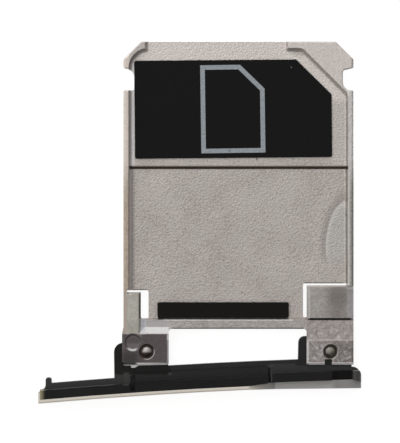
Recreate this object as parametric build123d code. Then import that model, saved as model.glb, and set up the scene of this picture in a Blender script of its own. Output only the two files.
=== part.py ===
"""SIM card tray: a formed sheet tray with a moulded door riveted to its two legs.

The card goes in along -Z and the tray slides along Y, nose first. The underside of the
floor is at Z = 0, and the middle of the card bay is at X = Y = 0. Millimetres.
"""
from build123d import *
import os
from math import atan, degrees, sqrt

# Card that the bay holds: the micro size, with one cut corner
card_width = 12.0
card_length = 15.0
card_corner = 2.5
card_round = 1.0
card_gap = 0.03

# Formed sheet and its levels
sheet = 0.25
recess_depth = 0.10
recess_flare = 0.08
recess_round = 0.14
rim_height = 0.40
wall_flare = 0.10
foot_radius = 0.15
rim_bevel = 0.04
bend_radius = 0.22
rail_round = 0.16
edge_round = 0.08
edge_break = 0.07

# Rails, nose and latch notches
rail_width = 0.30
nose_border = 0.47
nose_cut = 1.0
nose_round = 0.12
shoulder_round = 0.22
ear_reach = 1.21
shelf_reach = 3.66
latch_depth = 0.60
latch_length = 1.10
latch_from_nose = 1.62
latch_slant = 0.14
latch_tip = 0.11
latch_tight = 0.14
latch_round = 0.46
bay_turn = 0.50

# Floor: recess, end lip and the slots that free the legs
recess_from_lip = 8.51
lip_width = 0.52
lip_turn = 0.18
slot_left_width = 0.43
slot_left_rise = 1.57
slot_left_bite = 0.20
slot_right_width = 0.20
slot_right_rise = 1.89
slot_gap = 0.105
slot_left_foot = 0.07
slot_right_foot = 0.13
slot_round = 0.09

# Legs that carry the door, with their raised pads
leg_end = 10.05
leg_left_width = 2.53
leg_right_width = 2.62
leg_round = 0.12
leg_corner = 0.22
foot_skew = 0.06
pad_bevel = 0.11
pad_slope = 0.34
tab_slope = 0.20
slope_drop = 0.12
groove_inset = 0.17
groove_depth = 0.22
tab_width = 0.97
block_out = 0.08
ramp_run = 0.37
ramp_from_lip = 0.11
fold_run = 0.22
band_width = 1.15
band_from_lug = 0.14
lug_gap = 0.06
burr_from_side = 0.39
burr_width = 0.50
burr_reach = 0.11
burr_sheet = 0.08
dimple_radius = 0.48
dimple_wall = 0.11
dimple_depth = 0.11
dimple_turn = 0.06
dimple_from_side = 0.53
dimple_rise = 0.53
notch_width = 0.40
notch_length = 0.31
notch_shift = 0.11

# Rivets
rivet_spacing = 10.26
rivet_from_end = 0.73
shank_radius = 0.16
head_radius = 0.29
head_wall = 0.03
head_rise = 0.10
seat_radius = 0.38
seat_depth = 0.18
seat_bevel = 0.06
rivet_gap = 0.01
tail_inset = 0.05

# Door: its faces follow one wide arc, a little askew to the tray
door_radius = 280.0
door_arc_x = 13.04
door_standoff = 0.67
door_left = 11.15
door_right = 6.83
door_height = 1.9
base_height = 0.65
flange_depth = 0.51
ledge_reach = 0.32
plug_reach = 0.82
lug_margin = 0.38
lug_left = 1.81
lug_right = 1.20
lug_lean = (0.03, -0.04)
lug_rise = (0.09, 0.0)
lug_round = (0.50, 0.36)
door_corner = 0.45
flange_step = 0.14
flange_end = 0.40
flange_cut = 0.12
nub_width = 0.33
nub_reach = 0.33
nub_from_end = 0.36
nub_round = 0.13
nub_flare = 0.32
nub_sweep = 0.28
hollow_depth = 0.08
hollow_wall = 0.27
hollow_width = 0.43
hollow_left = 5.90
hollow_right = 1.72
seam_widths = (0.28, 0.13)
seam_depth = 0.30
seam_out = 0.40
seam_in = 0.40
pit_width = 1.16
pit_depth = 0.75
pit_from_end = 0.46

# Outer skin of the door and its pull lip
cover_sheet = 0.205
cover_wrap = 0.10
wrap_setback = 0.12
lip_left = 0.58
lip_ramp = 1.45
lip_setback = 0.15
lip_fall = 0.13
lip_fall_run = 0.45
lip_reach = 0.14
lip_drop = 0.65
cover_round = 0.08

# Stuck-on pieces: the film's face is the seat of the card
label_corner = 1.97
label_from_left = 0.225
label_from_right = 0.82
label_from_end = 0.55
label_from_recess = 0.53
label_sheet = 0.10
label_round = 0.12
label_turn = 0.5
strip_width = 0.88
strip_from_left = 0.50
strip_from_right = 0.80
strip_from_lip = 0.01
strip_round = 0.10

# Sizes worked out from the ones above, and how far a cut runs past what it cuts
over = 1.0
bay_x = card_width / 2 + card_gap
bay_y = card_length / 2 + card_gap
side = bay_x + wall_flare + rail_width
nose = bay_y + nose_border
floor_low = recess_depth
floor_top = floor_low + sheet
pan_top = floor_top - recess_depth
rim_top = floor_top + rim_height
rim_low = rim_top - sheet
seat = floor_top + label_sheet
leg_top = seat
leg_low = leg_top - sheet
lip_edge = -bay_y - lip_width
foot = -leg_end
foot_left = foot - foot_skew
tab_edge = -side + tab_width
leg_left_edge = -side + leg_left_width
leg_right_edge = side - leg_right_width
ramp_start = lip_edge + ramp_from_lip
ramp_end = ramp_start - ramp_run
slot_left_out = -bay_x - slot_left_bite
slot_left_in = tab_edge + slot_left_width
slot_right_in = leg_right_edge - slot_right_width
slot_left_low = -bay_y + slot_left_foot
slot_right_low = -bay_y + slot_right_foot
slot_left_top = slot_left_low + slot_left_rise
slot_right_top = slot_right_low + slot_right_rise
leg_left_start = slot_left_top - slot_gap
leg_right_start = slot_right_top - slot_gap
rivet_y = foot + rivet_from_end
rivet_places = (-rivet_spacing / 2, rivet_spacing / 2)
base_top = leg_low
base_low = base_top - base_height
door_top = base_low + door_height
door_face = foot - door_standoff
door_arc_y = door_face - sqrt(door_radius ** 2 - door_arc_x ** 2)


def slab(plan, low, high):
    """Solid of a flat plan between two levels."""
    return Pos(0, 0, low) * extrude(plan, high - low, dir=(0, 0, 1))


def outline(corners):
    """Closed flat outline through corners given as (X, Y), or (X, Y, radius) where one is round."""
    points = [(x, y) for x, y, *turn in corners]
    radii = [sum(turn) for x, y, *turn in corners]
    return make_face(FilletPolyline(*points, radius=radii, close=True))


def oblong(x_pair, y_pair, radius=0.0):
    """Flat oblong between two values along each axis."""
    low_x, high_x = x_pair
    low_y, high_y = y_pair
    return outline([
        (low_x, low_y, radius), (high_x, low_y, radius), (high_x, high_y, radius), (low_x, high_y, radius)])


def along_x(profile, x_low, x_high):
    """Prism along X of a closed profile given as (Y, Z) points."""
    face = make_face(Polyline(*[(x_low, y, z) for y, z in profile], close=True))
    return extrude(face, x_high - x_low, dir=(1, 0, 0))


def along_y(profile, y_low, y_high):
    """Prism along Y of a closed profile given as (X, Z) points."""
    face = make_face(Polyline(*[(x, y_low, z) for x, z in profile], close=True))
    return extrude(face, y_high - y_low, dir=(0, 1, 0))


def rising(plan, low, height, inset):
    """Solid whose walls close in by the inset from its low level up to its height."""
    return Pos(0, 0, low) * extrude(plan, height, taper=degrees(atan(inset / height)))


def sinking(plan, top, depth, inset):
    """Tool whose walls close in by the inset from its top level down to its depth."""
    return Pos(0, 0, top) * mirror(rising(plan, 0, depth, inset), about=Plane.XY)


def door_y(x, depth):
    """Place along Y of the door's arc at X, that much inside (+) or outside (-) its inner face."""
    return door_arc_y + sqrt((door_radius + depth) ** 2 - (x - door_arc_x) ** 2)


def lug_end(x):
    """Place along Y where the lug at X ends, level with the arc that clears the left rivet."""
    reach = rivet_y + lug_margin - door_y(rivet_places[0], 0)
    return door_y(x, reach)


def band_ends():
    """Lower and upper end of the low band across the right leg."""
    low = lug_end(rivet_places[1]) - band_from_lug
    return low, low + band_width


def low_area(spread):
    """Plan of all that lies below the rim: the bay, its open mouth and the legs."""
    x = bay_x + wall_flare + spread
    y = bay_y + wall_flare + spread
    cut = card_corner + (card_gap + wall_flare + spread) * (2 - sqrt(2))
    left_rail = leg_left_start - spread
    right_rail = leg_right_start - spread
    bay = outline([
        (-x, left_rail), (-side - over, left_rail), (-side - over, foot - over),
        (side + over, foot - over), (side + over, right_rail), (x, right_rail),
        (x, y - cut, bay_turn), (x - cut, y, bay_turn),
        (-x, y, card_round + card_gap + wall_flare + spread)])
    ear_end = -side + ear_reach - spread
    shelf_end = side - shelf_reach + spread
    return bay + oblong((ear_end, shelf_end), (0, nose + over))


def latch_side(hand):
    """Corners of one side from rail to nose, with the notch for the reader's latch; -1 is left, 1 right."""
    high = nose - latch_from_nose
    low = high - latch_length
    outer = hand * side
    inner = hand * (side - latch_depth)
    upper, lower = (latch_round, latch_tight) if hand < 0 else (latch_tight, latch_round)
    return [
        (outer, low, latch_tip), (inner, low, lower), (inner, high, upper),
        (outer, high + latch_slant, latch_tip), (outer, nose - nose_cut, shoulder_round),
        (hand * (side - nose_cut), nose, nose_round)]


def long_edge(hand, level, way, radius):
    """Tool that rounds one long outer edge: -1 is left or low, 1 is right or high."""
    start = foot_left - over
    flank = hand * side
    inner = hand * (side - radius)
    outer = hand * (side + over)
    turn = level - way * radius
    beyond = level + way * over
    lean = radius / sqrt(2)
    arc = ThreePointArc(
        (flank, start, turn), (inner + hand * lean, start, turn + way * lean), (inner, start, level))
    rest = Polyline(
        (inner, start, level), (inner, start, beyond), (outer, start, beyond), (outer, start, turn),
        (flank, start, turn))
    return extrude(make_face([arc, rest]), nose + over - start, dir=(0, 1, 0))


def blank():
    """Full plan of the tray from floor to rim, before any level is formed."""
    legs = [
        (-side, foot_left, leg_corner), (leg_left_edge, foot, leg_round),
        (leg_left_edge, lip_edge, lip_turn), (leg_right_edge, lip_edge, lip_turn),
        (leg_right_edge, foot, leg_round), (side, foot, leg_round)]
    plan = outline(legs + latch_side(1) + latch_side(-1)[::-1])
    body = slab(plan, floor_low, rim_top)
    body = fillet(body.edges().group_by(Axis.Z)[-1], edge_round)
    for hand in (-1, 1):
        body -= long_edge(hand, floor_low, -1, bend_radius)
        body -= long_edge(hand, rim_top, 1, rail_round)
    return body


def bay_tool(depth):
    """Tool for the bay and the legs' area, down from the rim, with a soft bend along its foot."""
    tool = sinking(low_area(0), rim_top, depth, wall_flare * depth / rim_height)
    return fillet(tool.edges().group_by(Axis.Z)[0], foot_radius)


def floor_recess():
    """Shallow pan pressed into the lower floor from wall to wall: the tool above and the boss below."""
    low = -bay_y
    high = low + recess_from_lip
    reach = bay_x + wall_flare
    run = along_x([
        (low, floor_top), (low + recess_flare, pan_top), (high - recess_flare, pan_top), (high, floor_top),
        (high, rim_top), (low, rim_top)], -reach, reach)
    plan = oblong((-bay_x, bay_x), (low, high), recess_round)
    boss = sinking(plan, floor_low, recess_depth, recess_flare)
    return bay_tool(rim_height + recess_depth) & run, boss


def leg_areas():
    """Space above the legs up to the ends of the rails, which stand upright."""
    plans = [
        oblong((-side - over, tab_edge), (foot - over, leg_left_start)),
        oblong((leg_right_edge, side + over), (foot - over, leg_right_start))]
    return [slab(plan, floor_top, rim_top + over) for plan in plans]


def broken_edge(x_pair, y, level):
    """Bevel tool along a sheared edge that faces -Y at one level."""
    profile = [
        (y + 2 * edge_break, level + edge_break), (y - edge_break, level - 2 * edge_break),
        (y - edge_break, level + edge_break)]
    return along_x(profile, *x_pair)


def broken_edges():
    """Bevels along the upper edges of both slots and along the end lip."""
    return [
        broken_edge((-bay_x + foot_radius, slot_left_in - slot_round), slot_left_top, pan_top),
        broken_edge((slot_right_in + slot_round, bay_x - foot_radius), slot_right_top, pan_top),
        broken_edge((leg_left_edge + lip_turn, leg_right_edge - lip_turn), lip_edge, floor_top)]


def leg_slots():
    """Two angled slots that free the legs from the floor."""
    left_plan = outline([
        (slot_left_out, slot_left_top), (slot_left_out, leg_left_start), (tab_edge, leg_left_start),
        (tab_edge, slot_left_low, slot_round), (slot_left_in, slot_left_low, slot_round),
        (slot_left_in, slot_left_top, slot_round)])
    right_plan = outline([
        (bay_x, slot_right_top), (slot_right_in, slot_right_top, slot_round),
        (slot_right_in, slot_right_low, slot_round), (leg_right_edge, slot_right_low),
        (leg_right_edge, leg_right_start), (bay_x, leg_right_start)])
    return [slab(plan, -over, rim_top + over) for plan in (left_plan, right_plan)]


def leg_pads():
    """Raised faces of the legs, with the slope up to the left one and the fold beside its tab."""
    band_low, band_high = band_ends()
    left_plan = outline([
        (-side - block_out, foot_left, leg_corner), (leg_left_edge, foot, leg_round),
        (leg_left_edge, ramp_end), (tab_edge, ramp_end), (tab_edge, leg_left_start),
        (-side, leg_left_start), (-side, ramp_start), (-side - block_out, ramp_end)])
    right_x = (leg_right_edge, side)
    upper = oblong(right_x, (band_high - pad_bevel, leg_right_start))
    plans = [left_plan, upper, oblong(right_x, (foot, band_low))]
    pads = [slab(plan, leg_low, floor_top) for plan in plans]
    pads += [rising(plan, floor_top, leg_top - floor_top, pad_bevel) for plan in plans]
    joins = [
        oblong((-side, slot_left_out), (leg_left_start - pad_bevel, leg_left_start)),
        oblong((bay_x, side), (leg_right_start - pad_bevel, leg_right_start))]
    pads += [slab(plan, leg_low, leg_top) for plan in joins]
    deep = ramp_end - ramp_run
    slope = [
        (ramp_start, floor_top), (ramp_end, leg_top), (deep, leg_top), (deep, leg_low),
        (ramp_start, leg_low)]
    inner = tab_edge - pad_bevel
    outer = tab_edge + fold_run
    fold = [(inner, leg_top), (outer, floor_top), (outer, leg_low), (inner, leg_low)]
    return pads + [along_x(slope, inner, leg_left_edge), along_y(fold, ramp_end, slot_left_low)]


def leg_burr():
    """Thin burr that the shear left on the end of the left leg, halfway up the sheet."""
    start = -side + burr_from_side
    end = start + burr_width
    root = foot + burr_reach
    tip = foot_left - burr_reach
    plan = outline([
        (start, root), (start, foot), (start + burr_reach / 2, tip),
        (start + burr_width / 2, tip), (end, foot), (end, root)])
    middle = (leg_low + leg_top) / 2
    return slab(plan, middle - burr_sheet / 2, middle + burr_sheet / 2)


def leg_slopes():
    """Wide slopes along the outer sides of the left tab and of the right upper pad."""
    low = leg_top - slope_drop
    high = leg_top + over
    left_in = -side + tab_slope
    right_in = side - pad_slope
    left_out = -side - over
    right_out = side + over
    left = [(left_in, leg_top), (left_in, high), (left_out, high), (left_out, low), (-side, low)]
    right = [(right_in, leg_top), (right_in, high), (right_out, high), (right_out, low), (side, low)]
    return [
        along_y(left, ramp_end, leg_left_start), along_y(right, band_ends()[1], leg_right_start)]


def hollows():
    """Space under the shelf and the legs, where the sheet stands clear of the floor's level."""
    span = bay_x + bay_y - card_corner
    reach = span + (card_gap + wall_flare + sheet) * sqrt(2)
    high = nose - latch_from_nose
    shelf = outline([
        (reach - high, high), (side + over, high), (side + over, nose + over),
        (reach - nose - over, nose + over)])
    band_high = band_ends()[1]
    lug_top = lug_end(rivet_places[1]) + lug_gap
    left = -side - over
    right_x = (leg_right_edge - over, side + over)
    plans = [
        oblong((left, leg_left_edge + over), (foot - over, ramp_end)),
        oblong((left, tab_edge), (ramp_end - over, leg_left_start)),
        oblong(right_x, (foot - over, lug_top)),
        oblong((leg_right_edge, side + over), (band_high, leg_right_start))]
    return [slab(shelf, -over, rim_low)] + [slab(plan, -over, leg_low) for plan in plans]


def leg_marks():
    """Dimple in the left leg, and the groove and the notch in the right one."""
    half = make_face(Polyline(
        (0, 0, leg_top - dimple_depth), (dimple_radius - dimple_wall, 0, leg_top - dimple_depth),
        (dimple_radius, 0, leg_top), (dimple_radius, 0, leg_top + over), (0, 0, leg_top + over), close=True))
    dish = revolve(half, Axis.Z)
    dish = fillet(dish.edges().group_by(Axis.Z)[0], dimple_turn)
    dimple = Pos(-side + dimple_from_side, rivet_y + dimple_rise, 0) * dish
    band_high = band_ends()[1]
    groove = oblong((leg_right_edge + groove_inset, side - groove_inset), (band_high - pad_bevel, band_high))
    middle = rivet_places[1] - notch_shift
    notch = oblong((middle - notch_width / 2, middle + notch_width / 2), (foot - over, foot + notch_length))
    return [dimple, slab(groove, leg_top - groove_depth, leg_top + over), slab(notch, -over, leg_top + over)]


def rivet_seat(x):
    """Bore and bevelled counterbore for one rivet, through leg and lug."""
    bore = shank_radius + rivet_gap
    ledge = leg_top - seat_depth
    mouth = seat_radius + seat_bevel
    half = make_face(Polyline(
        (0, 0, base_low - over), (bore, 0, base_low - over), (bore, 0, ledge), (seat_radius, 0, ledge),
        (seat_radius, 0, leg_top - seat_bevel), (mouth, 0, leg_top), (mouth, 0, leg_top + over),
        (0, 0, leg_top + over), close=True))
    return Pos(x, rivet_y, 0) * revolve(half, Axis.Z)


def tray_plate():
    """Formed sheet: floor, rails, nose shelf and the two legs."""
    pan, boss = floor_recess()
    bevel = sinking(low_area(rim_bevel), rim_top + rim_bevel / 2, rim_bevel, rim_bevel)
    tray = blank() - bay_tool(rim_height) - bevel - pan + boss
    for area in leg_areas():
        tray -= area
    for pad in leg_pads():
        tray += pad
    tray += leg_burr()
    for tool in leg_slots() + hollows() + leg_slopes() + leg_marks() + broken_edges():
        tray -= tool
    for x in rivet_places:
        tray -= rivet_seat(x)
    return tray


def bay_label():
    """Film on the upper floor, stuck on a little askew, with its corner cut like the card's."""
    left = -bay_x + label_from_left
    right = bay_x - label_from_right
    high = bay_y - label_from_end
    low = -bay_y + recess_from_lip + label_from_recess
    plan = outline([
        (left, low, label_round), (right, low, label_round), (right, high - label_corner, label_round),
        (right - label_corner, high, label_round), (left, high, label_round)])
    middle = Axis(((left + right) / 2, (low + high) / 2, 0), (0, 0, 1))
    return slab(plan, floor_top, seat).rotate(middle, label_turn)


def grip_strip():
    """Rubber strip along the end of the recess, up to the seat of the card."""
    low = -bay_y + recess_flare + strip_from_lip
    ends = (slot_left_in + strip_from_left, slot_right_in - strip_from_right)
    plan = oblong(ends, (low, low + strip_width), strip_round)
    return slab(plan, pan_top, seat)


def rivet(x):
    """One pin: sunk tail, shank and a domed head on the counterbore's ledge."""
    tail = base_low + tail_inset
    ledge = leg_top - seat_depth
    brim = ledge + head_wall
    crown = brim + head_rise
    ball = (head_radius ** 2 + head_rise ** 2) / (2 * head_rise)
    halfway = head_radius / 2
    shoulder = crown - ball + sqrt(ball ** 2 - halfway ** 2)
    dome = ThreePointArc((head_radius, 0, brim), (halfway, 0, shoulder), (0, 0, crown))
    sides = Polyline(
        (0, 0, crown), (0, 0, tail), (shank_radius, 0, tail), (shank_radius, 0, ledge),
        (head_radius, 0, ledge), (head_radius, 0, brim))
    return Pos(x, rivet_y, 0) * revolve(make_face([dome, sides]), Axis.Z)


def door_arc(x_from, x_to, depth):
    """Arc along the door at one depth."""
    middle = (x_from + x_to) / 2
    return ThreePointArc(*[(x, door_y(x, depth)) for x in (x_from, middle, x_to)])


def door_band(x_left, x_right, depth_out, depth_in):
    """Plan of a strip of the door between two depths."""
    outer = door_arc(x_left, x_right, depth_out)
    inner = door_arc(x_right, x_left, depth_in)
    return make_face([outer, Line(outer @ 1, inner @ 0), inner, Line(inner @ 1, outer @ 0)])


def cover_plan():
    """Plan of the outer skin: a thin arc, wrapped round the left end, with the lip at right."""
    left = -door_left
    wrap = left + cover_wrap
    lip_full = lip_left + lip_ramp
    depth_out = -flange_depth - cover_sheet
    outer = door_arc(left, lip_left, depth_out)
    lip_corner = (door_right, door_y(door_right, depth_out - lip_reach))
    lip_depth = -flange_depth + lip_setback
    lip_end = (door_right, door_y(door_right, lip_depth - lip_fall))
    lip_top = door_arc(door_right - lip_fall_run, lip_full, lip_depth)
    inner = door_arc(lip_left, wrap, -flange_depth)
    wrap_end = (wrap, door_y(wrap, -wrap_setback))
    left_end = (left, door_y(left, -wrap_setback))
    return make_face([
        outer, Polyline(outer @ 1, lip_corner, lip_end, lip_top @ 0), lip_top, Line(lip_top @ 1, inner @ 0),
        inner, Polyline(inner @ 1, wrap_end, left_end, outer @ 0)])


def door_cover():
    """Outer skin of the door, lowered at its right end to a pull lip."""
    lip_level = door_top - lip_drop
    scoop = along_y([
        (lip_left, door_top), (lip_left + lip_ramp, lip_level), (door_right + over, lip_level),
        (door_right + over, door_top + over), (lip_left, door_top + over)],
        door_y(-door_left, 0) - over, door_y(door_right, 0) + over)
    skin = slab(cover_plan(), base_low, door_top) - scoop
    outer_edge = skin.edges().group_by(Axis.Z)[-1].filter_by(GeomType.CIRCLE).sort_by(Axis.Y)[0]
    return fillet(outer_edge, cover_round)


def lug(x, lean, rise, turn):
    """Ear of the door under one leg: its left side leans out, and its end rises and turns."""
    root = door_y(x, 0)
    end = lug_end(x) + rise
    plan = outline([
        (x - lug_left, root), (x + lug_right, root), (x + lug_right, end, turn),
        (x - lug_left - lean, end, turn)])
    return slab(plan, base_low, base_top)


def nub():
    """Small post at the door's left end, with a flared foot."""
    left = -door_left + nub_from_end
    right = left + nub_width
    toe = left - nub_flare
    root = door_y(toe, -wrap_setback)
    top = door_y(left, ledge_reach + nub_reach)
    plan = outline([
        (toe, root), (right, root), (right, top, nub_round), (left, top, nub_round),
        (left, door_y(left, 0), nub_sweep), (toe, door_y(toe, 0))])
    return slab(plan, base_low, base_top)


def door_footprint():
    """Plan of the whole door without its lugs, round at its right inner corner."""
    plan = door_band(-door_left, door_right, -flange_depth - cover_sheet, ledge_reach)
    corner = plan.vertices().sort_by(Axis.X)[-2:].sort_by(Axis.Y)[-1]
    return fillet(corner, door_corner)


def door_flange():
    """Tall wall of the door, thicker right of the second seam, with its right end rounded down."""
    wall = door_band(-door_left, door_right, -flange_depth - cover_sheet, 0)
    wall = chamfer(wall.vertices().sort_by(Axis.X)[:2].sort_by(Axis.Y)[-1], flange_cut)
    step = door_band(hollow_right, door_right, -flange_depth, flange_step)
    reach = (door_y(-door_left, 0) - over, door_y(door_right, 0) + over)
    bar = slab(oblong((-door_left, door_right), reach), base_low, door_top)
    bar = fillet(bar.edges().filter_by(Axis.Y).group_by(Axis.Z)[-1].sort_by(Axis.X)[-1], flange_end)
    return (slab(wall, base_low, door_top) + slab(step, base_low, door_top)) & bar


def door_carrier():
    """Moulded door: tall flange outside, low ledge, plug and lugs inside."""
    root = -flange_depth / 2
    ledge_plan = door_band(-door_left + nub_from_end, door_right, root, ledge_reach)
    body = door_flange() + slab(ledge_plan, base_low, base_top)
    body = body & slab(door_footprint(), base_low, door_top)
    plug_plan = door_band(rivet_places[0] - lug_left, rivet_places[1] + lug_right, root, plug_reach)
    body += slab(plug_plan, base_low, base_top) + nub()
    for x, lean, rise, turn in zip(rivet_places, lug_lean, lug_rise, lug_round):
        body += lug(x, lean, rise, turn)
    hollow_in = plug_reach - hollow_wall
    hollow_plan = door_band(-hollow_left, hollow_right, hollow_in - hollow_width, hollow_in)
    pit_right = door_right - pit_from_end
    pit_plan = door_band(pit_right - pit_width, pit_right, -flange_depth, over)
    body -= slab(hollow_plan, base_top - hollow_depth, base_top + over)
    body -= slab(pit_plan, door_top - pit_depth, door_top + over)
    for x, width in zip((-hollow_left, hollow_right), seam_widths):
        seam_plan = door_band(x - width / 2, x + width / 2, -seam_out, seam_in)
        body -= slab(seam_plan, base_top - seam_depth, door_top + over)
    body -= slab(cover_plan(), base_low - over, door_top + over)
    for x in rivet_places:
        body -= rivet_seat(x)
    return body


os.makedirs("parts", exist_ok=True)
pieces = {
    "tray_plate": tray_plate(),
    "bay_label": bay_label(),
    "grip_strip": grip_strip(),
    "rivet_left": rivet(rivet_places[0]),
    "rivet_right": rivet(rivet_places[1]),
    "door_carrier": door_carrier(),
    "door_cover": door_cover(),
}
for name, piece in pieces.items():
    export_step(piece, f"parts/{name}.step")
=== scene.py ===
"""Dresses the SIM card tray: finishes, printed card outline, floor, light and camera."""
import logging
import math
from dataclasses import dataclass, field
from enum import Enum
from typing import Optional, Sequence

import bpy
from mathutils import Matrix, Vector

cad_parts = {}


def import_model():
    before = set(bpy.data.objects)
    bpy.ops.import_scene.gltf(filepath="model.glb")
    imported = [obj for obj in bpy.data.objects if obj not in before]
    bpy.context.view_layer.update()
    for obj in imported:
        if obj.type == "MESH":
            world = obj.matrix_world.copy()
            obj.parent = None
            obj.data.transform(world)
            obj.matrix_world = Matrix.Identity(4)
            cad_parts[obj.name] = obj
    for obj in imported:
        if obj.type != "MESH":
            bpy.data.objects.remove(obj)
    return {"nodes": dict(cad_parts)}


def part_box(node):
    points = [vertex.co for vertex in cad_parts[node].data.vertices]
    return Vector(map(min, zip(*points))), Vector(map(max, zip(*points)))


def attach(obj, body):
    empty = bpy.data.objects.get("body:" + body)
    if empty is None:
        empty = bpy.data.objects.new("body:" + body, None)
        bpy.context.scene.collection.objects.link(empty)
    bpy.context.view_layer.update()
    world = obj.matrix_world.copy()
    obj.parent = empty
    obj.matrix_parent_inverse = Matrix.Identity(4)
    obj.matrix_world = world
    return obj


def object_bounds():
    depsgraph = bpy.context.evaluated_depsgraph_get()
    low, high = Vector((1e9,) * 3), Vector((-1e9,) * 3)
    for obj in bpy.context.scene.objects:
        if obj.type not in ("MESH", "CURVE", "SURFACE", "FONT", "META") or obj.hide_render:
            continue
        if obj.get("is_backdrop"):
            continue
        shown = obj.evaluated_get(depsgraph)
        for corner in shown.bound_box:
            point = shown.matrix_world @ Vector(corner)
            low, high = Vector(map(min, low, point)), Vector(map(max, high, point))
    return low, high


log = logging.getLogger("sim_tray")

MM = 0.001
Colour = tuple[float, float, float]
Place = tuple[float, float, float]
Span = tuple[float, float]
Pair = tuple[float, float]
ALL_HEIGHTS: Span = (-5.0, 5.0)
RISE: Span = (0.0, 1.0)
FALL: Span = (1.0, 0.0)
NOISE_SPAN: Span = (0.3, 0.7)
MAP_ENDS = ("From Min", "From Max", "To Min", "To Max")
MIX_LOW = 2
MIX_HIGH = 3
SKY_RAYS = 8
SEAT_RADIUS = 0.385


class Blend(Enum):
    """Ways to combine two numbers in a material."""

    ADD = "ADD"
    MULTIPLY = "MULTIPLY"
    MAXIMUM = "MAXIMUM"


class Axis(Enum):
    """Axes of the tray's frame, by their place in a position."""

    X = 0
    Y = 1
    Z = 2


class Body(Enum):
    """Rigid bodies of the tray."""

    ROOT = "root"


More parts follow.
